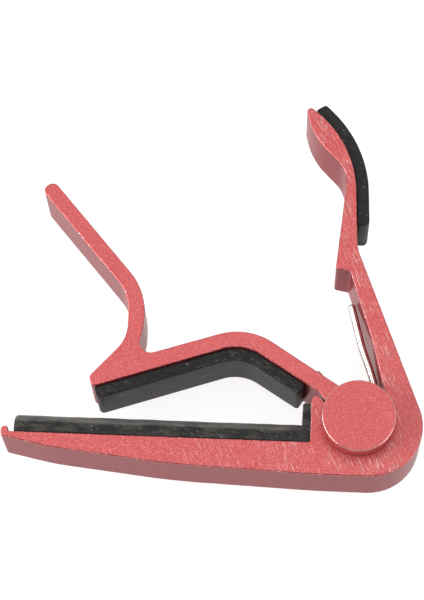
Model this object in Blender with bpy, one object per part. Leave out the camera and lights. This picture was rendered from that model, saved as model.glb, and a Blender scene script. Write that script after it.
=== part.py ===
"""Guitar capo, trigger type, lying flat on its back.

The frame and the trigger lever are two slices of aluminium extrusion, 13 mm thick.
The lever's round hub turns in a C-shaped socket of the frame, about a steel pin whose
two pressed-on caps keep the hub in. A torsion spring round the pin closes the jaw.

The hinge axis is the Z axis, with the rear cap's flat face at z = 0, and the string
jaw's flat top runs along X. Sizes below are in millimetres, and heights are given from
the back faces of the two slices, which lie REAR_STEP above z = 0.
"""

import math

import bmesh
import bpy

MM = 0.001

# Slices of extrusion
DEPTH = 13.0
EDGE_BREAK = 0.25
CHORD = 0.008
GLUE = 0.1
RUN = 0.3

# Hinge
HUB_R = 6.3
SOCKET_R = HUB_R + RUN
CHEEK = 3.1
PIN_R = 2.0
PIN_HOLE_R = 2.25
PIN_IN_CAP = 2.3
CAP_R = 7.5
CAP_H = 3.7
CAP_GAP = 0.15
CAP_EDGE = 0.3
REAR_STEP = CAP_GAP + CAP_H
SLEEVE_R = 3.7
SLEEVE_BORE_R = 2.2
SLEEVE_END_GAP = 0.25

# Spring
WIRE_R = 0.825
COIL_R = 5.0
COIL_TURNS = 2.5
COIL_PITCH = 1.75
COIL_FOOT = 4.55
HANDLE_LEG_Z = 5.6
SLOT = (7.7, DEPTH - CHEEK)

# Jaw and pads
JAW_TOP = -4.8
UPRIGHT_X = -9.65
PAD_INSET = 0.7
PAD_EDGE = 0.2
PAD_CORNER = 0.3
STRING_PAD_X = (-70.2, UPRIGHT_X - GLUE)
STRING_PAD_CREST = 0.1
STRING_PAD_SHOULDER = -2.8
UPSTAND_W = 1.55
UPSTAND_TOP = 3.65
NECK_PAD_T = 2.5
NECK_PAD_Z = (1.3, 12.3)
GRIP_PAD_T = 2.65
GRIP_PAD_FOOT = 43.2

# Each corner of an outline is (x, y, radius). Outlines run anticlockwise.
ARM_BEND_BELOW = (-24.04, 15.93, 9.5)
HANDLE_BEND = (-1.84, 62.54, 25.0)
ARM_RISE = math.radians(19.0)
ARM_FALL = math.radians(-32.3)

PAINT_RED = (0.62, 0.13, 0.14, 1.0)
RUBBER_BLACK = (0.035, 0.035, 0.037, 1.0)
STEEL = (0.55, 0.55, 0.56, 1.0)
NYLON = (0.78, 0.77, 0.72, 1.0)


def clear_scene():
    for obj in list(bpy.data.objects):
        bpy.data.objects.remove(obj, do_unlink=True)


def material(name, colour, roughness, metallic):
    mat = bpy.data.materials.new(name)
    mat.use_nodes = True
    shader = mat.node_tree.nodes["Principled BSDF"]
    shader.inputs["Base Color"].default_value = colour
    shader.inputs["Roughness"].default_value = roughness
    shader.inputs["Metallic"].default_value = metallic
    mat.diffuse_color = colour
    return mat


def arc(cx, cy, radius, start, end):
    """Points of an arc about (cx, cy), from start to end in degrees, within CHORD of it."""
    step = 2 * math.degrees(math.acos(1 - min(CHORD / radius, 0.1)))
    count = max(2, math.ceil(abs(end - start) / step))
    angles = [math.radians(start + (end - start) * i / count) for i in range(count + 1)]
    return [(cx + radius * math.cos(a), cy + radius * math.sin(a)) for a in angles]


def rounded(corners):
    """The corners' polygon with each corner turned into an arc of its radius."""
    points = []
    for i, (x, y, radius) in enumerate(corners):
        ax, ay = corners[i - 1][0] - x, corners[i - 1][1] - y
        bx, by = corners[(i + 1) % len(corners)][0] - x, corners[(i + 1) % len(corners)][1] - y
        la, lb = math.hypot(ax, ay), math.hypot(bx, by)
        cross, dot = ax * by - ay * bx, ax * bx + ay * by
        inside = math.atan2(abs(cross), dot)
        if radius <= 0 or math.pi - inside < 1e-3:
            points.append((x, y))
            continue
        reach = radius / math.tan(inside / 2)
        start = (x + ax / la * reach, y + ay / la * reach)
        turn = math.pi - inside
        side = -1.0 if cross > 0 else 1.0
        heading = math.atan2(-ay, -ax)
        cx = start[0] - side * radius * math.sin(heading)
        cy = start[1] + side * radius * math.cos(heading)
        first = math.degrees(heading) - side * 90.0
        points += arc(cx, cy, radius, first, first + side * math.degrees(turn))
    return points


def link(name, data, mat=None, cutter=False):
    """An object on the hinge axis, at the height of the slices' back faces."""
    obj = bpy.data.objects.new(name, data)
    obj.location.z = REAR_STEP * MM
    bpy.context.scene.collection.objects.link(obj)
    if mat:
        data.materials.append(mat)
    if cutter:
        obj.hide_render = True
        obj.display_type = "WIRE"
    return obj


def finish(bm, name, mat, cutter):
    bmesh.ops.recalc_face_normals(bm, faces=bm.faces)
    mesh = bpy.data.meshes.new(name)
    bm.to_mesh(mesh)
    bm.free()
    mesh.shade_smooth()
    mesh.set_sharp_from_angle(angle=math.radians(30))
    return link(name, mesh, mat, cutter)


def prism(name, outline, low, high, mat=None, along="Z", cutter=False):
    """The outline extruded from low to high along Z, or along X with the outline read as (y, z)."""
    bm = bmesh.new()
    if along == "Z":
        base = [(u * MM, v * MM, low * MM) for u, v in outline]
        push = (0, 0, (high - low) * MM)
    else:
        base = [(low * MM, u * MM, v * MM) for u, v in outline]
        push = ((high - low) * MM, 0, 0)
    face = bm.faces.new([bm.verts.new(point) for point in base])
    grown = bmesh.ops.extrude_face_region(bm, geom=[face])["geom"]
    verts = [item for item in grown if isinstance(item, bmesh.types.BMVert)]
    bmesh.ops.translate(bm, verts=verts, vec=push)
    return finish(bm, name, mat, cutter)


def turned(name, profile, mat=None, cutter=False, sides=72):
    """A profile of (radius, height) spun about the Z axis. It is closed unless it ends on the axis."""
    bm = bmesh.new()
    verts = [bm.verts.new((radius * MM, 0, height * MM)) for radius, height in profile]
    edges = [bm.edges.new(pair) for pair in zip(verts, verts[1:])]
    if profile[0][0] > 0:
        edges.append(bm.edges.new((verts[-1], verts[0])))
    bmesh.ops.spin(
        bm,
        geom=verts + edges,
        cent=(0, 0, 0),
        axis=(0, 0, 1),
        angle=2 * math.pi,
        steps=sides,
        use_merge=True,
    )
    bmesh.ops.remove_doubles(bm, verts=bm.verts, dist=1e-7)
    return finish(bm, name, mat, cutter)


def break_edges(obj, width, segments=2):
    bevel = obj.modifiers.new("edge_break", "BEVEL")
    bevel.width = width * MM
    bevel.segments = segments
    bevel.limit_method = "ANGLE"
    bevel.angle_limit = math.radians(60)
    bevel.use_clamp_overlap = False


def boolean(obj, other, operation="DIFFERENCE"):
    modifier = obj.modifiers.new(other.name, "BOOLEAN")
    modifier.operation = operation
    modifier.solver = "EXACT"
    modifier.object = other
    other.hide_render = True
    other.display_type = "WIRE"


def frame_outline():
    """String jaw, socket and handle in one outline, from the hook at the jaw's tip."""
    outside = [
        (-72.75, -5.75, 0.6),
        (-62.5, -7.85, 60.0),
        (-38.0, -10.5, 150.0),
        (-8.0, -11.6, 200.0),
        (18.1, -11.6, 10.85),
        (-0.95, 37.9, 9.0),
        HANDLE_BEND,
        (-12.97, 71.24, 0.8),
        (-10.8, 63.15, 16.0),
        (-3.3, 55.4, 7.0),
        (-5.4, 33.1, 0.7),
        (-2.3, 32.55, 0.6),
        (2.15, 18.8, 30.0),
        (4.64, 9.2, 5.0),
        (SOCKET_R + 0.02, 2.6, 3.0),
    ]
    upright_and_jaw = [
        (-6.45, 3.15, 0.0),
        (-8.2, 5.1, 0.8),
        (UPRIGHT_X, 5.1, 0.9),
        (UPRIGHT_X, JAW_TOP, 0.6),
        (-71.25, JAW_TOP, 0.55),
        (-71.35, -3.7, 0.45),
        (-72.75, -3.7, 0.8),
    ]
    socket = [(x, y, 0.0) for x, y in arc(0, 0, SOCKET_R, 0, -203)]
    return rounded(outside + socket + upright_and_jaw)


def lever_outline():
    """Arm, hub and trigger in one outline, from the foot at the arm's free end."""
    arm_below = [
        (-54.7, 5.3, 1.0),
        ARM_BEND_BELOW,
        (-8.0, 5.8, 2.5),
    ]
    hub = [(x, y, 0.0) for x, y in arc(0, 0, HUB_R, 156, 468)]
    arm_above_and_trigger = [
        (-23.2, 19.7, 13.0),
        (-46.2, 12.0, 2.35),
        (-44.75, 19.0, 8.0),
        (-44.75, 26.73, 14.5),
        (-65.76, 51.0, 1.55),
        (-68.21, 48.87, 1.5),
        (-48.15, 25.69, 10.8),
        (-48.15, 16.0, 7.6),
        (-55.5, 7.5, 1.1),
    ]
    return rounded(arm_below + hub + arm_above_and_trigger)


def spring_route():
    """The wire's centre line: handle leg, coil clockwise from above, lever leg."""
    base = COIL_FOOT
    top = base + COIL_TURNS * COIL_PITCH
    handle_leg = [
        (-1.75, 27.6, HANDLE_LEG_Z),
        (-0.12, 21.3, HANDLE_LEG_Z),
        (0.8, 17.9, HANDLE_LEG_Z),
        (2.3, 13.7, HANDLE_LEG_Z),
        (3.45, 10.1, HANDLE_LEG_Z - 0.2),
        (4.5, 6.2, base + 0.35),
        (4.95, 3.0, base + 0.05),
    ]
    lever_leg = [(-5.0, 1.9, top), (-5.25, 4.0, top), (-5.8, 6.6, top), (-6.7, 8.9, top), (-8.8, 11.2, top)]
    steps = round(COIL_TURNS * 24)
    coil = []
    for i in range(steps + 1):
        angle = -2 * math.pi * COIL_TURNS * i / steps
        z = base + (top - base) * i / steps
        coil.append((COIL_R * math.cos(angle), COIL_R * math.sin(angle), z))
    return smooth(handle_leg + [coil[0]], 4)[:-1] + coil + smooth([coil[-1]] + lever_leg, 4)[1:]


def smooth(points, parts):
    """A Catmull-Rom curve through the points."""
    out = []
    for i in range(len(points) - 1):
        p0 = points[max(i - 1, 0)]
        p1, p2 = points[i], points[i + 1]
        p3 = points[min(i + 2, len(points) - 1)]
        for j in range(parts):
            t = j / parts
            out.append(
                tuple(
                    0.5
                    * (
                        2 * b
                        + (c - a) * t
                        + (2 * a - 5 * b + 4 * c - d) * t * t
                        + (3 * b - a - 3 * c + d) * t**3
                    )
                    for a, b, c, d in zip(p0, p1, p2, p3)
                )
            )
    return out + [points[-1]]


def make_frame(paint):
    frame = prism("frame", frame_outline(), 0.0, DEPTH, paint)
    break_edges(frame, EDGE_BREAK)
    return frame


def make_lever(paint):
    lever = prism("trigger_lever", lever_outline(), 0.0, DEPTH, paint)
    break_edges(lever, EDGE_BREAK)
    spring_room = turned(
        "spring_room",
        [(0, CHEEK), (HUB_R + 0.6, CHEEK), (HUB_R + 0.6, DEPTH - CHEEK), (0, DEPTH - CHEEK)],
        cutter=True,
    )
    boolean(lever, spring_room)
    slot = [(-6.6, 0.0), (-3.4, 0.0), (-4.2, 7.0), (-5.2, 9.6), (-8.2, 13.2), (-10.6, 11.6)]
    leg_slot = prism("leg_slot", slot + [(-7.4, 7.6)], SLOT[0], SLOT[1], cutter=True)
    boolean(lever, leg_slot)
    pin_hole = turned(
        "pin_hole",
        [(0, -1), (PIN_HOLE_R, -1), (PIN_HOLE_R, DEPTH + 1), (0, DEPTH + 1)],
        cutter=True,
        sides=48,
    )
    boolean(lever, pin_hole)
    return lever


def make_cap(name, face, out, paint):
    """A flat cap on one end of the pin, with a blind bore for it. Out is 1 or -1."""
    bore = PIN_R + 0.03
    inner = face + out * CAP_GAP
    outer = inner + out * CAP_H
    floor = inner + out * PIN_IN_CAP
    rim = []
    for degrees in (90, 60, 30, 0):
        a = math.radians(degrees)
        rim.append((CAP_R - CAP_EDGE * (1 - math.sin(a)), outer - out * CAP_EDGE * (1 - math.cos(a))))
    profile = [(0, floor), (bore, floor), (bore, inner), (CAP_R, inner)] + rim + [(0, outer)]
    turned(name, profile, paint, sides=96)


def make_pin(steel):
    reach = CAP_GAP + PIN_IN_CAP - 0.1
    chamfer = 0.3
    turned(
        "pivot_pin",
        [
            (0, -reach),
            (PIN_R - chamfer, -reach),
            (PIN_R, -reach + chamfer),
            (PIN_R, DEPTH + reach - chamfer),
            (PIN_R - chamfer, DEPTH + reach),
            (0, DEPTH + reach),
        ],
        steel,
        sides=48,
    )


def make_sleeve(nylon):
    """The spring's coil sits on it, between the hub's two cheeks."""
    low, high = CHEEK + SLEEVE_END_GAP, DEPTH - CHEEK - SLEEVE_END_GAP
    turned(
        "spring_sleeve",
        [(SLEEVE_BORE_R, low), (SLEEVE_R, low), (SLEEVE_R, high), (SLEEVE_BORE_R, high)],
        nylon,
        sides=48,
    )


def make_spring(steel):
    curve = bpy.data.curves.new("torsion_spring", "CURVE")
    curve.dimensions = "3D"
    curve.bevel_depth = WIRE_R * MM
    curve.bevel_resolution = 2
    curve.use_fill_caps = True
    route = spring_route()
    spline = curve.splines.new("POLY")
    spline.points.add(len(route) - 1)
    for point, (x, y, z) in zip(spline.points, route):
        point.co = (x * MM, y * MM, z * MM, 1.0)
    link("torsion_spring", curve, steel)


def make_string_pad(rubber):
    """A bar with a domed top on the jaw, and a thin wall up the frame's upright."""
    low, high = PAD_INSET, DEPTH - PAD_INSET
    foot = JAW_TOP + GLUE
    left, right = STRING_PAD_X
    side = right - UPSTAND_W
    outline = [
        (left, foot, PAD_CORNER),
        (right, foot, 0.6),
        (right, UPSTAND_TOP, PAD_CORNER),
        (side, UPSTAND_TOP, 0.5),
        (side, STRING_PAD_CREST, 0.5),
        (left, STRING_PAD_CREST, 0.7),
    ]
    pad = prism("string_pad", rounded(outline), low, high, rubber)
    break_edges(pad, PAD_EDGE)
    half = (high - low) / 2
    rise = STRING_PAD_CREST - STRING_PAD_SHOULDER
    dome = [
        (STRING_PAD_SHOULDER + rise * math.sin(a), DEPTH / 2 + half * math.cos(a))
        for a in (math.pi * i / 20 for i in range(21))
    ]
    section = [(foot - 1, low), (foot - 1, high)] + dome
    bar = prism("pad_bar", section, left - 1, side + 0.5, along="X", cutter=True)
    wall = prism(
        "pad_wall",
        [(side, foot - 1), (right + 1, foot - 1), (right + 1, UPSTAND_TOP + 1), (side, UPSTAND_TOP + 1)],
        low - 1,
        high + 1,
        cutter=True,
    )
    boolean(bar, wall, "UNION")
    boolean(pad, bar, "INTERSECT")
    return pad


def make_neck_pad(rubber):
    """A bent strip of even thickness under the arm."""
    bend_x, bend_y, bend_r = ARM_BEND_BELOW
    left, right = (-54.36, 5.45), (-11.0, 7.72)
    ux, uy = math.sin(ARM_RISE), -math.cos(ARM_RISE)
    vx, vy = math.sin(ARM_FALL), -math.cos(ARM_FALL)
    thick = NECK_PAD_T + GLUE
    mitre = 1.0 / math.cos((ARM_RISE - ARM_FALL) / 2)
    mx, my = math.sin((ARM_RISE + ARM_FALL) / 2), -math.cos((ARM_RISE + ARM_FALL) / 2)
    corners = [
        (left[0] + ux * GLUE, left[1] + uy * GLUE, PAD_CORNER),
        (left[0] + ux * thick, left[1] + uy * thick, 1.0),
        (bend_x + mx * thick * mitre, bend_y + my * thick * mitre, bend_r - 1.0),
        (right[0] + vx * thick, right[1] + vy * thick, 0.7),
        (right[0] + vx * GLUE, right[1] + vy * GLUE, PAD_CORNER),
        (bend_x + mx * GLUE * mitre, bend_y + my * GLUE * mitre, bend_r + GLUE),
    ]
    pad = prism("neck_pad", rounded(corners), *NECK_PAD_Z, rubber)
    break_edges(pad, PAD_EDGE)
    return pad


def make_grip_pad(rubber):
    """A strip down the outside of the handle from its tip, following the handle's curve."""
    corners = [
        (-1.04, GRIP_PAD_FOOT, PAD_CORNER),
        (1.52, GRIP_PAD_FOOT, 1.1),
        (0.82, 62.14, HANDLE_BEND[2] + GRIP_PAD_T),
        (-8.4, 71.07, 0.7),
        (-10.45, 69.7, 0.35),
        (-10.0, 69.05, PAD_CORNER),
        (-1.69, 61.02, HANDLE_BEND[2] + GLUE),
    ]
    pad = prism("grip_pad", rounded(corners), PAD_INSET, DEPTH - PAD_INSET, rubber)
    break_edges(pad, PAD_EDGE)
    return pad


def main():
    clear_scene()
    make_frame(material("frame_paint", PAINT_RED, 0.38, 0.55))
    make_lever(material("lever_paint", PAINT_RED, 0.38, 0.55))
    make_cap("front_cap", DEPTH, 1, material("front_cap_paint", PAINT_RED, 0.35, 0.55))
    make_cap("rear_cap", 0.0, -1, material("rear_cap_paint", PAINT_RED, 0.35, 0.55))
    make_pin(material("pin_steel", STEEL, 0.3, 1.0))
    make_sleeve(material("sleeve_nylon", NYLON, 0.5, 0.0))
    make_spring(material("spring_wire", STEEL, 0.2, 1.0))
    make_string_pad(material("string_pad_rubber", RUBBER_BLACK, 0.7, 0.0))
    make_neck_pad(material("neck_pad_rubber", RUBBER_BLACK, 0.65, 0.0))
    make_grip_pad(material("grip_pad_rubber", RUBBER_BLACK, 0.6, 0.0))


main()
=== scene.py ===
import math

import bmesh
import bpy
import numpy as np
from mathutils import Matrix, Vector, noise


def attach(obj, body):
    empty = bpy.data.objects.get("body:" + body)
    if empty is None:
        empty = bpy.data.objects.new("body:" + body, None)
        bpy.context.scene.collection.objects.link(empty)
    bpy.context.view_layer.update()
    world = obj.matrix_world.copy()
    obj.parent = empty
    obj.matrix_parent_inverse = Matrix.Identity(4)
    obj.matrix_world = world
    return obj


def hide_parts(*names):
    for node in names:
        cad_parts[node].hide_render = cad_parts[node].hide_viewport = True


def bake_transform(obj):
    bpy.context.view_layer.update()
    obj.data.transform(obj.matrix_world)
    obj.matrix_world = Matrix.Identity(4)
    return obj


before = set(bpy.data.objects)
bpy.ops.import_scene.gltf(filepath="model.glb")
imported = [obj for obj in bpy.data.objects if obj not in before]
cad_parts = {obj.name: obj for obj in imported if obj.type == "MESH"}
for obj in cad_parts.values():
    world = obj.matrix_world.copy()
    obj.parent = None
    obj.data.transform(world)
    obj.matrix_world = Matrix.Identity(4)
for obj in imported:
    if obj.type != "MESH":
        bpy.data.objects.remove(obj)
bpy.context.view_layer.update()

# Sizes in millimetres. Heights are from the back faces of the two aluminium slices.
MM = 0.001
DEPTH = 13.0
EDGE_BREAK = 0.24
GLUE = 0.1
CHORD = 0.002

# Hinge
HUB_R = 6.3
RUN = 0.3
SOCKET_R = HUB_R + RUN
CHEEK = 3.1
PIN_R = 2.0
PIN_GAP = 0.03
PIN_HOLE_R = 2.25
PIN_IN_CAP = 2.3
CAP_R = 7.5
CAP_H = 3.7
CAP_GAP = 0.15
CAP_EDGE = 0.3
REAR_STEP = CAP_GAP + CAP_H

# Spring
WIRE_R = 0.825
WIRE_END = 0.12
COIL_R = 5.0
COIL_TURNS = 2.5
COIL_PITCH = 1.75
COIL_FOOT = 4.55
COIL_TOP = COIL_FOOT + COIL_TURNS * COIL_PITCH
HANDLE_LEG_Z = 5.6
LEG_SLOT_Z = (7.7, DEPTH - CHEEK)

# Jaw, arm and handle
JAW_TOP = -4.8
UPRIGHT_X = -9.65
ARM_BEND_BELOW = (-24.04, 15.93, 9.5)
ARM_RISE = math.radians(19.0)
ARM_FALL = math.radians(-32.3)
HANDLE_BEND = (-1.84, 62.54, 25.0)

# Pads
PAD_INSET = 0.7
PAD_EDGE = 0.22
STRING_PAD_X = (-70.2, UPRIGHT_X - GLUE)
STRING_PAD_CREST = 0.1
STRING_PAD_SHOULDER = -2.8
UPSTAND_W = 1.55
UPSTAND_TOP = 3.65
NECK_PAD_T = 2.5
NECK_PAD_BACK = 1.3
GRIP_PAD_T = 2.65
GRIP_PAD_FOOT = 43.2


# ---------------------------------------------------------------- outlines


def arc(cx, cy, radius, start, end):
    """Points of an arc about (cx, cy), from start to end in degrees, within CHORD of it."""
    step = 2 * math.degrees(math.acos(1 - min(CHORD / radius, 0.1)))
    count = max(2, math.ceil(abs(end - start) / step))
    angles = [math.radians(start + (end - start) * i / count) for i in range(count + 1)]
    return [(cx + radius * math.cos(a), cy + radius * math.sin(a)) for a in angles]


def rounded(corners):
    """The corners' polygon with each corner turned into an arc of its radius."""
    points = []
    for i, (x, y, radius) in enumerate(corners):
        after = corners[(i + 1) % len(corners)]
        ax, ay = corners[i - 1][0] - x, corners[i - 1][1] - y
        bx, by = after[0] - x, after[1] - y
        la, lb = math.hypot(ax, ay), math.hypot(bx, by)
        cross, dot = ax * by - ay * bx, ax * bx + ay * by
        inside = math.atan2(abs(cross), dot)
        if radius <= 0 or math.pi - inside < 1e-3:
            points.append((x, y))
            continue
        reach = radius / math.tan(inside / 2)
        start = (x + ax / la * reach, y + ay / la * reach)
        side = -1.0 if cross > 0 else 1.0
        heading = math.atan2(-ay, -ax)
        cx = start[0] - side * radius * math.sin(heading)
        cy = start[1] + side * radius * math.cos(heading)
        first = math.degrees(heading) - side * 90.0
        points += arc(cx, cy, radius, first, first + side * math.degrees(math.pi - inside))
    return points


def frame_outline():
    """String jaw, socket and handle in one outline, from the hook at the jaw's tip."""
    outside = [
        (-72.75, -5.75, 0.6),
        (-62.5, -7.85, 60.0),
        (-38.0, -10.5, 150.0),
        (-8.0, -11.6, 200.0),
        (18.1, -11.6, 10.85),
        (-0.95, 37.9, 9.0),
        HANDLE_BEND,
        (-12.97, 71.24, 0.8),
        (-10.8, 63.15, 16.0),
        (-3.3, 55.4, 7.0),
        (-5.4, 33.1, 0.7),
        (-2.3, 32.55, 0.6),
        (2.15, 18.8, 30.0),
        (4.64, 9.2, 5.0),
        (SOCKET_R + 0.02, 2.6, 3.0),
    ]
    socket = [(x, y, 0.0) for x, y in arc(0, 0, SOCKET_R, 0, -203)]
    upright_and_jaw = [
        (-6.45, 3.15, 0.0),
        (-8.2, 5.1, 0.8),
        (UPRIGHT_X, 5.1, 0.9),
        (UPRIGHT_X, JAW_TOP, 0.6),
        (-71.25, JAW_TOP, 0.55),
        (-71.35, -3.7, 0.45),
        (-72.75, -3.7, 0.8),
    ]
    return rounded(outside + socket + upright_and_jaw)


def lever_outline():
    """Arm, hub and trigger in one outline, from the foot at the arm's free end."""
    arm_below = [(-54.7, 5.3, 1.0), ARM_BEND_BELOW, (-8.0, 5.8, 2.5)]
    hub = [(x, y, 0.0) for x, y in arc(0, 0, HUB_R, 156, 468)]
    arm_above_and_trigger = [
        (-23.2, 19.7, 13.0),
        (-46.2, 12.0, 2.35),
        (-44.75, 19.0, 8.0),
        (-44.75, 26.73, 14.5),
        (-65.76, 51.0, 1.55),
        (-68.21, 48.87, 1.5),
        (-48.15, 25.69, 10.8),
        (-48.15, 16.0, 7.6),
        (-55.5, 7.5, 1.1),
    ]
    return rounded(arm_below + hub + arm_above_and_trigger)


def neck_pad_outline():
    bend_x, bend_y, bend_r = ARM_BEND_BELOW
    left, right = (-54.36, 5.45), (-11.0, 7.72)
    ux, uy = math.sin(ARM_RISE), -math.cos(ARM_RISE)
    vx, vy = math.sin(ARM_FALL), -math.cos(ARM_FALL)
    thick = NECK_PAD_T + GLUE
    mitre = 1.0 / math.cos((ARM_RISE - ARM_FALL) / 2)
    mx, my = math.sin((ARM_RISE + ARM_FALL) / 2), -math.cos((ARM_RISE + ARM_FALL) / 2)
    corners = [
        (left[0] + ux * GLUE, left[1] + uy * GLUE, 0.45),
        (left[0] + ux * thick, left[1] + uy * thick, 1.0),
        (bend_x + mx * thick * mitre, bend_y + my * thick * mitre, bend_r - 1.0),
        (right[0] + vx * thick, right[1] + vy * thick, 0.7),
        (right[0] + vx * GLUE, right[1] + vy * GLUE, 0.45),
        (bend_x + mx * GLUE * mitre, bend_y + my * GLUE * mitre, bend_r + GLUE),
    ]
    return rounded(corners)


def grip_pad_outline():
    corners = [
        (-1.04, GRIP_PAD_FOOT, 0.45),
        (1.52, GRIP_PAD_FOOT, 1.1),
        (0.82, 62.14, HANDLE_BEND[2] + GRIP_PAD_T),
        (-8.4, 71.07, 0.7),
        (-10.45, 69.7, 0.42),
        (-10.0, 69.05, 0.35),
        (-1.69, 61.02, HANDLE_BEND[2] + GLUE),
    ]
    return rounded(corners)


# ---------------------------------------------------------------- mesh making


def evenly(outline, step):
    """The outline with its long straights divided, so that detail can follow it."""
    points = []
    for i, (x, y) in enumerate(outline):
        nx, ny = outline[(i + 1) % len(outline)]
        length = math.hypot(nx - x, ny - y)
        if length < 1e-5:
            continue
        parts = max(1, math.ceil(length / step))
        points += [(x + (nx - x) * k / parts, y + (ny - y) * k / parts) for k in range(parts)]
    return np.array(points)


def outward(points):
    """Unit normals of a closed anticlockwise outline at its points."""
    before = points - np.roll(points, 1, axis=0)
    after = np.roll(points, -1, axis=0) - points
    before /= np.linalg.norm(before, axis=1)[:, None]
    after /= np.linalg.norm(after, axis=1)[:, None]
    along = before + after
    along /= np.linalg.norm(along, axis=1)[:, None]
    return np.stack([along[:, 1], -along[:, 0]], axis=1)


def wander(points, size, seed):
    """Smooth noise of about -1 to 1 along an outline, with features of this size."""
    return np.array([noise.noise(Vector((x / size, y / size, seed))) for x, y in points])


def new_object(name, mesh):
    obj = bpy.data.objects.new(name, mesh)
    bpy.context.scene.collection.objects.link(obj)
    return obj


def from_bmesh(name, bm, sharp=32.0):
    """A linked object of this shape, shaded smooth but for its sharp edges."""
    bmesh.ops.recalc_face_normals(bm, faces=bm.faces)
    mesh = bpy.data.meshes.new(name)
    bm.to_mesh(mesh)
    bm.free()
    mesh.shade_smooth()
    mesh.set_sharp_from_angle(angle=math.radians(sharp))
    return new_object(name, mesh)


def bridge(bm, lower, upper):
    """A band of quads between two rings of points."""
    for i in range(len(lower)):
        j = (i + 1) % len(lower)
        bm.faces.new((lower[i], lower[j], upper[j], upper[i]))


def slab(name, outline, low, high, edge, uneven=0.0, seed=0.0, step=0.4, levels=1):
    """The outline as a plate with hand-broken edges: their radius wanders along the outline."""
    points = evenly(outline, step)
    normals = outward(points)
    width = 1 + uneven * (wander(points, 2.3, seed) + 0.7 * wander(points, 0.8, seed + 7))
    nicks = np.clip(wander(points, 1.1, seed + 21) - 0.42, 0, 1) * 4.0 * uneven
    width = edge * np.clip(width + nicks, 0.5, 1.5)
    rings = []
    for end, sign in ((low, 1), (high, -1)):
        turn = [(width + 0.05, np.zeros(len(points)))]
        for degrees in (90, 67.5, 45, 22.5, 0):
            a = math.radians(degrees)
            turn.append((width * (1 - math.cos(a)), width * (1 - math.sin(a))))
        turn.append((np.zeros(len(points)), width + 0.15))
        turn = [(inset, end + sign * rise) for inset, rise in turn]
        rings.append(turn if sign > 0 else turn[::-1])
    middle = []
    for k in range(1, levels):
        middle.append((np.zeros(len(points)), np.full(len(points), low + (high - low) * k / levels)))
    bm = bmesh.new()
    loops = []
    for inset, z in rings[0] + middle + rings[1]:
        xy = points - normals * inset[:, None]
        spots = [(x * MM, y * MM, (h + REAR_STEP) * MM) for (x, y), h in zip(xy, z)]
        loops.append([bm.verts.new(spot) for spot in spots])
    for lower, upper in zip(loops, loops[1:]):
        bridge(bm, lower, upper)
    ends = [bm.faces.new(loops[0][::-1]), bm.faces.new(loops[-1])]
    bm.normal_update()
    bmesh.ops.triangulate(bm, faces=ends)
    return from_bmesh(name, bm)


def turned(name, profile, sides=144):
    """A profile of (radius, height) spun about the hinge axis, closed unless it ends there."""
    bm = bmesh.new()
    verts = [bm.verts.new((r * MM, 0, (h + REAR_STEP) * MM)) for r, h in profile]
    edges = [bm.edges.new(pair) for pair in zip(verts, verts[1:])]
    if profile[0][0] > 0:
        edges.append(bm.edges.new((verts[-1], verts[0])))
    bmesh.ops.spin(
        bm,
        geom=verts + edges,
        cent=(0, 0, 0),
        axis=(0, 0, 1),
        angle=2 * math.pi,
        steps=sides,
        use_merge=True,
    )
    bmesh.ops.remove_doubles(bm, verts=bm.verts, dist=1e-7)
    return from_bmesh(name, bm)


def plain_prism(name, outline, low, high):
    bm = bmesh.new()
    foot = (low + REAR_STEP) * MM
    face = bm.faces.new([bm.verts.new((x * MM, y * MM, foot)) for x, y in outline])
    grown = bmesh.ops.extrude_face_region(bm, geom=[face])["geom"]
    verts = [item for item in grown if isinstance(item, bmesh.types.BMVert)]
    bmesh.ops.translate(bm, verts=verts, vec=(0, 0, (high - low) * MM))
    return from_bmesh(name, bm)


def combine(obj, other, operation="DIFFERENCE"):
    """Applies an exact Boolean and removes the other object."""
    modifier = obj.modifiers.new("cut", "BOOLEAN")
    modifier.operation = operation
    modifier.solver = "EXACT"
    modifier.object = other
    bake_modifiers(obj)
    bpy.data.objects.remove(other, do_unlink=True)


def bake_modifiers(obj):
    graph = bpy.context.evaluated_depsgraph_get()
    mesh = bpy.data.meshes.new_from_object(obj.evaluated_get(graph))
    obj.modifiers.clear()
    obj.data = mesh


def roughen(obj, amount, size, seed, keep_ends=False):
    """Moves points a little along their normals, so that a moulded surface isn't dead flat."""
    mesh = obj.data
    offset = Vector((seed, seed * 1.7, seed * 0.3))
    spots = [(v.co.copy(), v.normal.copy()) for v in mesh.vertices]
    heights = [spot.z for spot, _ in spots]
    for vertex, (spot, normal) in zip(mesh.vertices, spots):
        if keep_ends and min(max(heights) - spot.z, spot.z - min(heights)) < 0.4 * MM:
            continue
        vertex.co = spot + normal * (noise.noise(spot / (size * MM) + offset) * amount * MM)
    mesh.update()


# ---------------------------------------------------------------- pieces


def make_frame():
    return slab("frame_slice", frame_outline(), 0.0, DEPTH, EDGE_BREAK, uneven=0.35, seed=1.0)


def make_lever():
    lever = slab("lever_slice", lever_outline(), 0.0, DEPTH, EDGE_BREAK, uneven=0.35, seed=5.0)
    wide = HUB_R + 2 * RUN
    room = [(0, CHEEK), (wide, CHEEK), (wide, DEPTH - CHEEK), (0, DEPTH - CHEEK)]
    combine(lever, turned("spring_room", room, 96))
    slot = [(-6.6, 0.0), (-3.4, 0.0), (-4.2, 7.0), (-5.2, 9.6)]
    slot += [(-8.2, 13.2), (-10.6, 11.6), (-7.4, 7.6)]
    combine(lever, plain_prism("leg_slot", slot, *LEG_SLOT_Z))
    hole = [(0, -1), (PIN_HOLE_R, -1), (PIN_HOLE_R, DEPTH + 1), (0, DEPTH + 1)]
    combine(lever, turned("pin_hole", hole, 64))
    lever.data.shade_smooth()
    lever.data.set_sharp_from_angle(angle=math.radians(32))
    return lever


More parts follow.
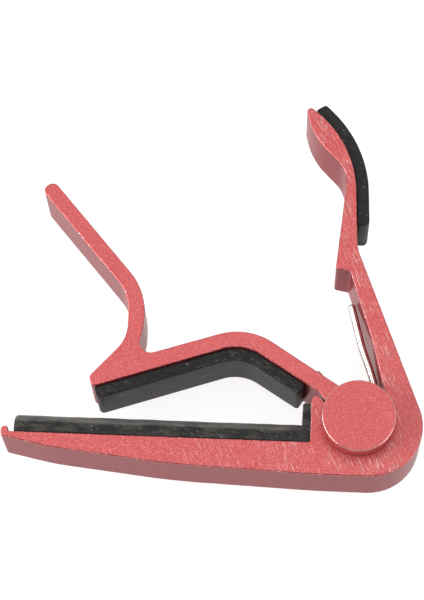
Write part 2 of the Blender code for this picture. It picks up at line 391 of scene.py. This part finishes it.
def make_cap(name, face, out):
    """A turned cap with a rounded rim, and a blind bore for the pin with a chamfered mouth."""
    inner = face + out * CAP_GAP
    outer = inner + out * CAP_H
    floor = inner + out * PIN_IN_CAP
    bore = PIN_R + PIN_GAP
    profile = [(0, floor), (bore, floor), (bore, inner + out * 0.2), (bore + 0.2, inner)]
    profile += [(CAP_R - 0.12, inner), (CAP_R - 0.03, inner + out * 0.04)]
    profile += [(CAP_R, inner + out * 0.12), (CAP_R, inner + out * 0.6), (CAP_R, outer - out * 0.5)]
    for degrees in (0, 15, 30, 45, 60, 75, 90):
        a = math.radians(degrees)
        inward, down = CAP_EDGE * (1 - math.cos(a)), CAP_EDGE * (1 - math.sin(a))
        profile.append((CAP_R - inward, outer - out * down))
    profile += [(CAP_R - 0.5, outer), (CAP_R - 1.0, outer), (3.0, outer), (0, outer)]
    return turned(name, profile, 192)


def smooth(points, parts):
    """A Catmull-Rom curve through the points."""
    out = []
    for i in range(len(points) - 1):
        p0, p1, p2 = points[max(i - 1, 0)], points[i], points[i + 1]
        p3 = points[min(i + 2, len(points) - 1)]
        for j in range(parts):
            t = j / parts
            spot = []
            for a, b, c, d in zip(p0, p1, p2, p3):
                linear, square, cube = c - a, 2 * a - 5 * b + 4 * c - d, 3 * b - a - 3 * c + d
                spot.append(0.5 * (2 * b + linear * t + square * t * t + cube * t**3))
            out.append(tuple(spot))
    return out + [points[-1]]


def spring_route():
    """The wire's centre line: handle leg, coil clockwise from above, lever leg."""
    handle_leg = [
        (-1.75, 27.6, HANDLE_LEG_Z),
        (-0.12, 21.3, HANDLE_LEG_Z),
        (0.8, 17.9, HANDLE_LEG_Z),
        (2.3, 13.7, HANDLE_LEG_Z),
        (3.45, 10.1, HANDLE_LEG_Z - 0.2),
        (4.5, 6.2, COIL_FOOT + 0.35),
        (4.95, 3.0, COIL_FOOT + 0.05),
    ]
    lever_leg = [(-5.0, 1.9), (-5.25, 4.0), (-5.8, 6.6), (-6.7, 8.9), (-8.8, 11.2)]
    lever_leg = [(x, y, COIL_TOP) for x, y in lever_leg]
    steps = round(COIL_TURNS * 48)
    coil = []
    for i in range(steps + 1):
        angle = -2 * math.pi * COIL_TURNS * i / steps
        z = COIL_FOOT + (COIL_TOP - COIL_FOOT) * i / steps
        coil.append((COIL_R * math.cos(angle), COIL_R * math.sin(angle), z))
    return smooth(handle_leg + [coil[0]], 10)[:-1] + coil + smooth([coil[-1]] + lever_leg, 10)[1:]


def make_spring():
    """Round wire with cut ends that are rounded over a little."""
    curve = bpy.data.curves.new("spring_wire", "CURVE")
    curve.dimensions = "3D"
    curve.bevel_depth = WIRE_R * MM
    curve.bevel_resolution = 5
    curve.use_fill_caps = True
    route = spring_route()
    route.insert(1, toward(route[0], route[1], WIRE_END))
    route.insert(-1, toward(route[-1], route[-2], WIRE_END))
    spline = curve.splines.new("POLY")
    spline.points.add(len(route) - 1)
    for point, (x, y, z) in zip(spline.points, route):
        point.co = (x * MM, y * MM, (z + REAR_STEP) * MM, 1.0)
    for end in (0, -1):
        spline.points[end].radius = 0.86
    obj = new_object("spring_wire", curve)
    graph = bpy.context.evaluated_depsgraph_get()
    mesh = bpy.data.meshes.new_from_object(obj.evaluated_get(graph))
    bpy.data.objects.remove(obj, do_unlink=True)
    mesh.shade_smooth()
    mesh.set_sharp_from_angle(angle=math.radians(50))
    return new_object("spring_wire", mesh)


def toward(a, b, distance):
    """The point this far from a towards b."""
    a, b = Vector(a), Vector(b)
    return tuple(a + (b - a).normalized() * distance)


def falling(distance, radius):
    """How far a rounded corner has fallen away, this far from where it ends."""
    left = max(0.0, radius - distance)
    return radius - math.sqrt(max(0.0, radius * radius - left * left))


def make_string_pad():
    """A bar with a domed top, joined to a thin wall up the frame's upright."""
    foot = JAW_TOP + GLUE
    left, right = STRING_PAD_X
    side = right - UPSTAND_W
    half = DEPTH / 2 - PAD_INSET
    rise = STRING_PAD_CREST - STRING_PAD_SHOULDER
    stations = [0, 0.03, 0.08, 0.16, 0.27, 0.4, 0.6, 0.85, 1.2]
    stations = [left + d for d in stations] + list(np.arange(left + 1.7, side + 0.7, 0.5))
    bm = bmesh.new()
    loops = []
    for x in stations:
        d = x - left
        drop = falling(d, 0.7)
        pull = falling(d, 0.4)
        flat = half - pull
        section = [(-flat + 0.25, foot + pull), (-flat, foot + 0.25 + pull)]
        low = foot + 0.25 + pull
        section += [(-flat, low + (STRING_PAD_SHOULDER - low) * k / 4) for k in (1, 2, 3)]
        for k in range(33):
            a = math.pi * (1 - k / 32)
            section.append((flat * math.cos(a), STRING_PAD_SHOULDER + (rise - drop) * math.sin(a)))
        section += [(-z, y) for z, y in section[4:1:-1]]
        section += [(-z, y) for z, y in section[1::-1]]
        section += [(flat * k / 4, foot + pull) for k in (2, 0, -2)]
        spots = [(x * MM, y * MM, (z + DEPTH / 2 + REAR_STEP) * MM) for z, y in section]
        loops.append([bm.verts.new(spot) for spot in spots])
    for lower, upper in zip(loops, loops[1:]):
        bridge(bm, lower, upper)
    bm.faces.new(loops[0][::-1])
    bm.faces.new(loops[-1])
    pad = from_bmesh("string_pad_rubber", bm, 40)
    upstand = [(side, foot, 0.3), (right, foot, 0.55)]
    upstand = rounded(upstand + [(right, UPSTAND_TOP, 0.35), (side, UPSTAND_TOP, 0.5)])
    wall = slab("wall", upstand, PAD_INSET, DEPTH - PAD_INSET, 0.25, step=0.5, levels=10)
    combine(pad, wall, "UNION")
    roughen(pad, 0.07, 3.1, 4.0)
    pad.data.shade_smooth()
    pad.data.set_sharp_from_angle(angle=math.radians(40))
    return pad


def make_flat_pad(name, outline, seed, low=PAD_INSET):
    high = DEPTH - PAD_INSET
    pad = slab(name, outline, low, high, PAD_EDGE, uneven=0.2, seed=seed, levels=14)
    roughen(pad, 0.05, 3.4, seed, keep_ends=True)
    return pad


# ---------------------------------------------------------------- materials


class Shader:
    """Shorthand for building one node material whose texture coordinates are millimetres."""

    def __init__(self, name):
        self.mat = bpy.data.materials.new(name)
        self.mat.use_nodes = True
        self.tree = self.mat.node_tree
        self.bsdf = self.tree.nodes["Principled BSDF"]
        coords = self.tree.nodes.new("ShaderNodeTexCoord")
        self.mm = self.scaled(coords.outputs["Object"], (1000, 1000, 1000))

    def wire(self, source, socket):
        if isinstance(source, bpy.types.NodeSocket):
            self.tree.links.new(source, socket)
        else:
            socket.default_value = source

    def scaled(self, vector, scale, turn=0.0, shift=(0, 0, 0)):
        node = self.tree.nodes.new("ShaderNodeMapping")
        self.wire(vector, node.inputs["Vector"])
        node.inputs["Scale"].default_value = scale
        node.inputs["Rotation"].default_value = (0, 0, turn)
        node.inputs["Location"].default_value = shift
        return node.outputs["Vector"]

    def noise(self, scale, detail=2.0, vector=None, rough=0.5):
        node = self.tree.nodes.new("ShaderNodeTexNoise")
        self.wire(vector or self.mm, node.inputs["Vector"])
        node.inputs["Scale"].default_value = scale
        node.inputs["Detail"].default_value = detail
        node.inputs["Roughness"].default_value = rough
        return node.outputs["Fac"]

    def cells(self, scale, vector=None):
        """A random value for each cell of about 1 / scale millimetres."""
        node = self.tree.nodes.new("ShaderNodeTexVoronoi")
        self.wire(vector or self.mm, node.inputs["Vector"])
        node.inputs["Scale"].default_value = scale
        split = self.tree.nodes.new("ShaderNodeSeparateColor")
        self.wire(node.outputs["Color"], split.inputs["Color"])
        return split.outputs["Red"]

    def spread(self, value, low, high, to_low=0.0, to_high=1.0):
        node = self.tree.nodes.new("ShaderNodeMapRange")
        node.interpolation_type = "SMOOTHSTEP"
        self.wire(value, node.inputs["Value"])
        ends = {"From Min": low, "From Max": high, "To Min": to_low, "To Max": to_high}
        for name, number in ends.items():
            node.inputs[name].default_value = number
        return node.outputs["Result"]

    def maths(self, operation, a, b):
        node = self.tree.nodes.new("ShaderNodeMath")
        node.operation = operation
        self.wire(a, node.inputs[0])
        self.wire(b, node.inputs[1])
        return node.outputs["Value"]

    def blend(self, factor, a, b):
        node = self.tree.nodes.new("ShaderNodeMix")
        node.data_type = "RGBA"
        self.wire(factor, node.inputs["Factor"])
        self.wire(a, node.inputs["A"])
        self.wire(b, node.inputs["B"])
        return node.outputs["Result"]

    def along_x(self):
        """Where a point is along X, in millimetres from the hinge axis."""
        split = self.tree.nodes.new("ShaderNodeSeparateXYZ")
        self.wire(self.mm, split.inputs["Vector"])
        return split.outputs["X"]

    def upward(self, low, high):
        """0 to 1 as the surface turns towards +Y, from one value of the normal's Y to another."""
        geometry = self.tree.nodes.new("ShaderNodeNewGeometry")
        split = self.tree.nodes.new("ShaderNodeSeparateXYZ")
        self.wire(geometry.outputs["Normal"], split.inputs["Vector"])
        return self.spread(split.outputs["Y"], low, high)

    def bump(self, height, depth_mm):
        node = self.tree.nodes.new("ShaderNodeBump")
        node.inputs["Strength"].default_value = 1.0
        node.inputs["Distance"].default_value = depth_mm * MM
        self.wire(height, node.inputs["Height"])
        self.wire(node.outputs["Normal"], self.bsdf.inputs["Normal"])

    def finish(self, **values):
        for name, value in values.items():
            self.wire(value, self.bsdf.inputs[name.replace("_", " ")])
        return self.mat


RED = (0.58, 0.083, 0.084, 1.0)
RED_DEEP = (0.40, 0.03, 0.035, 1.0)
# Pale red for painted glints.
RED_PAINTED_GLINT = (0.90, 0.30, 0.27, 1.0)
# Wall reds: darker than the faces' red, partly the drawn finish's own colour and partly painted
# shade.
WALL_RED_WITH_PAINTED_SHADE = (0.29, 0.042, 0.049, 1.0)
WALL_DEEP_WITH_PAINTED_SHADE = (0.25, 0.036, 0.042, 1.0)
EDGE = (0.50, 0.11, 0.115, 1.0)
CAP_RIM = (0.76, 0.34, 0.33, 1.0)
SPECK = (0.09, 0.015, 0.02, 1.0)
BARE = (0.90, 0.66, 0.60, 1.0)


def blasted(name, saw, shift, contrast):
    """A sawn face: red anodised over fine blasting, with what is left of the saw marks, and painted
    glints of pale spots.
    """
    s = Shader(name)
    moved = s.scaled(s.mm, (1, 1, 1), shift=(shift, shift * 0.7, 0))
    fine = s.noise(5.2, 2.0, moved, 0.7)
    flakes = s.cells(6.5, moved)
    grain = s.maths("ADD", s.maths("MULTIPLY", flakes, 0.4), s.maths("MULTIPLY", fine, 0.6))
    colour = s.blend(s.spread(grain, 0.26, 0.68, 0.5 - 0.5 * contrast, 1.0), RED_DEEP, RED)
    # Painted glints: pale spots in the base colour stand in for light sparkling off the blasted
    # grain.
    painted_glints = s.spread(s.cells(6.2, s.scaled(moved, (1, 1, 1), shift=(3.3, 1.1, 0))), 0.78, 0.97)
    colour = s.blend(s.maths("MULTIPLY", painted_glints, 0.5 * contrast), colour, RED_PAINTED_GLINT)
    turned_way = s.scaled(moved, (1, 1, 1), turn=1.16)
    streaks = s.noise(1.0, 3.0, s.scaled(turned_way, (0.36, 6.2, 0.2)), 0.62)
    patches = s.noise(0.13, 3.0, moved, 0.6)
    marks = s.maths("MULTIPLY", s.spread(streaks, 0.565, 0.63), s.spread(patches, 0.40, 0.60))
    marks = s.maths("MULTIPLY", marks, s.spread(s.along_x(), -62.0, 4.0, 0.04 * saw, saw))
    colour = s.blend(s.maths("MULTIPLY", marks, 0.6), colour, BARE)
    tone = s.noise(0.07, 2.0, moved)
    colour = s.blend(s.spread(tone, 0.35, 0.65, 0.0, 0.12), colour, RED_DEEP)
    rough = s.spread(grain, 0.2, 0.8, 0.38, 0.56)
    relief = s.maths("SUBTRACT", grain, s.maths("MULTIPLY", marks, 0.6))
    s.bump(relief, 0.045)
    return s.finish(
        Base_Color=colour, Roughness=rough, Metallic=0.3, Coat_Weight=0.25, Coat_Roughness=0.3
    )


def drawn(name, shift):
    """The extruded walls: smooth and glossy, with faint die lines along them and a few specks. Their
    red is darker than the faces', partly for the drawn finish and partly as painted shade on the
    walls.
    """
    s = Shader(name)
    moved = s.scaled(s.mm, (1, 1, 1), shift=(shift, shift * 0.7, 0))
    lines = s.noise(1.0, 2.0, s.scaled(moved, (2.2, 2.2, 0.03)), 0.5)
    cloud = s.noise(0.35, 3.0, moved)
    tone = s.maths("ADD", s.maths("MULTIPLY", lines, 0.3), s.maths("MULTIPLY", cloud, 0.7))
    # Partly painted shade: the wall reds are about half the faces' red.
    colour = s.blend(s.spread(tone, 0.35, 0.65), WALL_DEEP_WITH_PAINTED_SHADE, WALL_RED_WITH_PAINTED_SHADE)
    specks = s.spread(s.noise(2.6, 1.0, moved), 0.70, 0.75)
    colour = s.blend(s.maths("MULTIPLY", specks, 0.7), colour, SPECK)
    rough = s.spread(tone, 0.3, 0.7, 0.14, 0.24)
    s.bump(s.maths("SUBTRACT", s.noise(2.0, 2.0, moved), s.maths("MULTIPLY", specks, 2.0)), 0.004)
    return s.finish(
        Base_Color=colour,
        Roughness=rough,
        Metallic=0.3,
        Specular_IOR_Level=0.0,
        Coat_Weight=0.2,
        Coat_Roughness=0.08,
    )


def edge(name, shift, base=EDGE):
    """The broken edges: bright and smooth, and bare metal wherever the colour is chipped off."""
    s = Shader(name)
    moved = s.scaled(s.mm, (1, 1, 1), shift=(shift, shift * 0.7, 0))
    chips = s.spread(s.noise(1.8, 3.0, moved, 0.75), 0.57, 0.63)
    colour = s.blend(s.maths("MULTIPLY", chips, 0.9), base, BARE)
    s.bump(chips, 0.012)
    return s.finish(
        Base_Color=colour,
        Roughness=s.spread(s.noise(2.2, 2.0, moved), 0.3, 0.7, 0.16, 0.30),
        Metallic=0.85,
        Coat_Weight=0.5,
        Coat_Roughness=0.08,
    )


def anodised(name, shift, saw, contrast=1.0):
    """The three finishes of one red slice."""
    faces = blasted(name + "_faces", saw, shift, contrast)
    return faces, drawn(name + "_walls", shift), edge(name + "_edges", shift)


def turned_red(name, shift):
    """A cap is blasted all round. Only its broken edges shine."""
    red = blasted(name, 0.0, shift, 0.8)
    return red, red, edge(name + "_edges", shift, CAP_RIM)


BLACK = (0.008, 0.0078, 0.0082, 1)
BROWNISH = (0.060, 0.055, 0.048, 1)
# Grey for the top of the string pad's dome.
TOP_GREY = (0.165, 0.158, 0.149, 1)
SCUFF = (0.19, 0.19, 0.18, 1)
GRIT = (0.05, 0.047, 0.045, 1)
DUST = (0.22, 0.2, 0.19, 1)


def rubber(name, shift, bloomed, scuffed, crest=0.0, gloss=0.0):
    """Moulded black rubber: a fine matt grain, a pale bloom, scuffs, grit and dust.

    Crest is how much paler it is made where the surface turns towards +Y, at the top of the string
    pad's dome, and gloss is extra shine.
    """
    s = Shader(name)
    moved = s.scaled(s.mm, (1, 1, 1), shift=(shift, 0, shift))
    mottle = s.noise(0.5, 5.0, s.scaled(moved, (0.35, 1.0, 0.6)), 0.68)
    colour = s.blend(s.maths("MULTIPLY", s.spread(mottle, 0.40, 0.64), bloomed), BLACK, BROWNISH)
    if crest:
        # Paler where the surface turns towards +Y, the top of the dome, mottled.
        paler_top = s.maths("MULTIPLY", s.upward(0.1, 0.6), s.spread(mottle, 0.34, 0.62, 0.45, 1.0))
        colour = s.blend(s.maths("MULTIPLY", paler_top, crest), colour, TOP_GREY)
    slanted = s.scaled(moved, (1, 1, 1), turn=0.5)
    scratch = s.noise(1.0, 3.0, s.scaled(slanted, (0.5, 4.2, 1.2)), 0.7)
    patches = s.spread(s.noise(0.15, 2.0, moved), 0.42, 0.60)
    scuff = s.maths("MULTIPLY", s.spread(scratch, 0.54, 0.68), patches)
    colour = s.blend(s.maths("MULTIPLY", scuff, 0.6 * scuffed), colour, SCUFF)
    grit = s.spread(s.noise(4.5, 2.0, moved, 0.7), 0.42, 0.62, 0.0, 0.2)
    colour = s.blend(grit, colour, GRIT)
    few, fine = s.cells(2.4, moved), s.noise(5.0, 1.0)
    dust = s.maths("MULTIPLY", s.spread(few, 0.984, 0.99), s.spread(fine, 0.55, 0.62))
    colour = s.blend(dust, colour, DUST)
    relief = s.maths("ADD", s.noise(3.5, 4.0, moved, 0.6), s.maths("MULTIPLY", scuff, 0.5))
    s.bump(relief, 0.035)
    rough = s.spread(mottle, 0.3, 0.75, 0.40 - gloss, 0.60 - gloss)
    return s.finish(Base_Color=colour, Roughness=rough, Specular_IOR_Level=0.15 + gloss)


def bright_wire(name):
    """Plated spring wire with faint drawing marks."""
    s = Shader(name)
    tone = s.noise(0.5, 3.0)
    colour = s.blend(s.spread(tone, 0.35, 0.65), (0.60, 0.57, 0.53, 1), (0.72, 0.69, 0.64, 1))
    spots = s.spread(s.noise(2.4, 3.0), 0.66, 0.72)
    colour = s.blend(s.maths("MULTIPLY", spots, 0.5), colour, (0.38, 0.33, 0.29, 1))
    s.bump(s.noise(5.0, 3.0), 0.01)
    return s.finish(Base_Color=colour, Roughness=s.spread(tone, 0.3, 0.7, 0.2, 0.3), Metallic=1.0)


def ground_steel(name):
    """The pin's steel, with grinding lines round it."""
    s = Shader(name)
    lines = s.noise(1.0, 2.0, s.scaled(s.mm, (0.4, 0.4, 14)))
    colour = s.blend(lines, (0.42, 0.42, 0.43, 1), (0.62, 0.62, 0.63, 1))
    s.bump(lines, 0.008)
    return s.finish(Base_Color=colour, Roughness=s.spread(lines, 0.3, 0.7, 0.24, 0.4), Metallic=1.0)


def nylon(name):
    """The sleeve's natural nylon, slightly clouded."""
    s = Shader(name)
    cloud = s.noise(0.7, 3.0)
    colour = s.blend(s.spread(cloud, 0.3, 0.7), (0.70, 0.68, 0.61, 1), (0.80, 0.79, 0.74, 1))
    s.bump(s.noise(4.0, 2.0), 0.01)
    return s.finish(Base_Color=colour, Roughness=s.spread(cloud, 0.3, 0.7, 0.42, 0.55))


def paper(name):
    """The pale floor: matt, and glowing a little, so that it stays near white."""
    s = Shader(name)
    fibre = s.noise(0.8, 4.0)
    tint = s.blend(s.spread(fibre, 0.3, 0.7), (0.23, 0.23, 0.23, 1), (0.26, 0.26, 0.26, 1))
    s.bsdf.inputs["Emission Color"].default_value = (1, 1, 1, 1)
    return s.finish(Base_Color=tint, Roughness=0.9, Emission_Strength=0.86)


# Kinds of face, and how much of a face's normal lies along the hinge axis in each.
FACE, WALL_SIDE, BROKEN = 0, 1, 2
FACE_TILT = 0.93
WALL_TILT = 0.15


def clothe(obj, body, mats, slot, *nodes):
    """Gives a piece its body, the CAD nodes that it stands for, and its materials.

    The materials are for faces across the hinge axis, for walls, and for edges between. The slot is
    not used.
    """
    obj.data.materials.clear()
    for mat in mats:
        obj.data.materials.append(mat)
    for polygon in obj.data.polygons:
        height = abs(polygon.normal.z)
        kind = FACE if height > FACE_TILT else WALL_SIDE if height < WALL_TILT else BROKEN
        polygon.material_index = min(kind, len(mats) - 1)
    if body:
        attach(obj, body)
    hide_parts(*nodes)


def keep(node, mat):
    """A CAD node that shows as it is, with a better material."""
    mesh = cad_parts[node].data
    mesh.materials.clear()
    mesh.materials.append(mat)


# ---------------------------------------------------------------- stage

# Places and sizes in metres, the lens in millimetres, and the camera's turn in degrees.
FLOOR_HALF = 1.6
FLOOR_GAP = 0.00002
LIT_PLACE = (-0.03, 0.02, 0.0)
LENS = 126.0
CAMERA_PLACE = (-0.014057, -0.126194, 0.426257)
CAMERA_TURN = (20.348, 1.394, 2.602)


def softbox(name, location, size, power):
    """A white panel light that faces the middle of the capo."""
    data = bpy.data.lights.new(name, "AREA")
    data.shape = "RECTANGLE"
    data.size, data.size_y = size
    data.energy = power
    obj = bpy.data.objects.new(name, data)
    obj.location = location
    aim = Vector(LIT_PLACE) - obj.location
    obj.rotation_euler = aim.to_track_quat("-Z", "Y").to_euler()
    bpy.context.scene.collection.objects.link(obj)


def make_floor():
    bm = bmesh.new()
    bmesh.ops.create_grid(bm, x_segments=8, y_segments=8, size=FLOOR_HALF)
    floor = from_bmesh("floor", bm)
    floor.location = (0, 0, -FLOOR_GAP)
    floor.data.materials.append(paper("floor_paper"))


def make_lights():
    """Four softboxes, in a room that grows lighter from the jaw's side to the handle's."""
    softbox("key", (-0.08, 0.25, 0.70), (0.5, 0.5), 1.3)
    softbox("top", (0.20, 0.02, 0.80), (0.9, 0.9), 2.5)
    softbox("left", (-0.75, -0.16, 0.42), (0.9, 0.34), 7.0)
    softbox("right", (0.6, -0.2, 0.35), (0.4, 0.3), 1.5)

    world = bpy.data.worlds.new("studio")
    world.use_nodes = True
    tree = world.node_tree
    coords = tree.nodes.new("ShaderNodeTexCoord")
    split = tree.nodes.new("ShaderNodeSeparateXYZ")
    tree.links.new(coords.outputs["Generated"], split.inputs["Vector"])
    room = tree.nodes.new("ShaderNodeMapRange")
    ends = {"From Min": -0.5, "From Max": 0.6, "To Min": 0.06, "To Max": 0.5}
    for socket, number in ends.items():
        room.inputs[socket].default_value = number
    tree.links.new(split.outputs["Y"], room.inputs["Value"])
    tree.links.new(room.outputs["Result"], tree.nodes["Background"].inputs["Strength"])
    tree.nodes["Background"].inputs["Color"].default_value = (1, 1, 1, 1)
    bpy.context.scene.world = world


def make_camera():
    data = bpy.data.cameras.new("camera")
    data.lens = LENS
    data.clip_start, data.clip_end = 0.01, 10.0
    camera = bpy.data.objects.new("camera", data)
    camera.location = CAMERA_PLACE
    camera.rotation_euler = [math.radians(a) for a in CAMERA_TURN]
    scene = bpy.context.scene
    scene.collection.objects.link(camera)
    scene.camera = camera
    scene.view_settings.view_transform = "Standard"
    scene.view_settings.look = "None"


def place_metal():
    """The two slices and the two caps."""
    red = anodised("frame", 0.0, 1.15)
    clothe(make_frame(), "frame", red, "frame_paint", "frame")
    red = anodised("lever", 31.0, 0.3, 0.7)
    clothe(make_lever(), "trigger", red, "lever_paint", "trigger_lever")
    for cap, shift, face, out in (("front_cap", 57.0, DEPTH, 1), ("rear_cap", 83.0, 0.0, -1)):
        red = turned_red(cap + "_red", shift)
        clothe(make_cap(cap + "_turned", face, out), "frame", red, cap + "_paint", cap)


def place_rubber():
    """The three pads. A flat pad is scuffed on its cut faces and glossier on its edges."""
    black = (rubber("string_rubber", 0.0, 0.9, 0.55, crest=0.9),)
    clothe(make_string_pad(), "frame", black, "string_pad_rubber", "string_pad")

    neck = make_flat_pad("neck_pad_rubber", neck_pad_outline(), 11.0, NECK_PAD_BACK)
    flat, side = rubber("neck_rubber_cut", 17.0, 0.0, 0.8), rubber("neck_rubber", 17.0, 1.0, 0.2)
    black = (flat, side, rubber("neck_rubber_edges", 17.0, 0.3, 0.5, gloss=0.2))
    clothe(neck, "trigger", black, "neck_pad_rubber", "neck_pad")

    grip = make_flat_pad("grip_pad_rubber", grip_pad_outline(), 15.0)
    flat, side = rubber("grip_rubber_cut", 41.0, 0.2, 0.4), rubber("grip_rubber", 41.0, 0.4, 0.2)
    black = (flat, side, rubber("grip_rubber_edges", 41.0, 0.3, 0.5, gloss=0.2))
    clothe(grip, "frame", black, "grip_pad_rubber", "grip_pad")


def place_spring():
    """The coil winds between its legs: one lies along the handle, the other along the lever."""
    spring = make_spring()
    steel = (bright_wire("spring_steel"),)
    clothe(spring, None, steel, "spring_wire", "torsion_spring")
    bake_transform(spring)


place_metal()
place_rubber()
place_spring()
keep("pivot_pin", ground_steel("pin_ground_steel"))
keep("spring_sleeve", nylon("sleeve_nylon"))
make_floor()
make_lights()
make_camera()
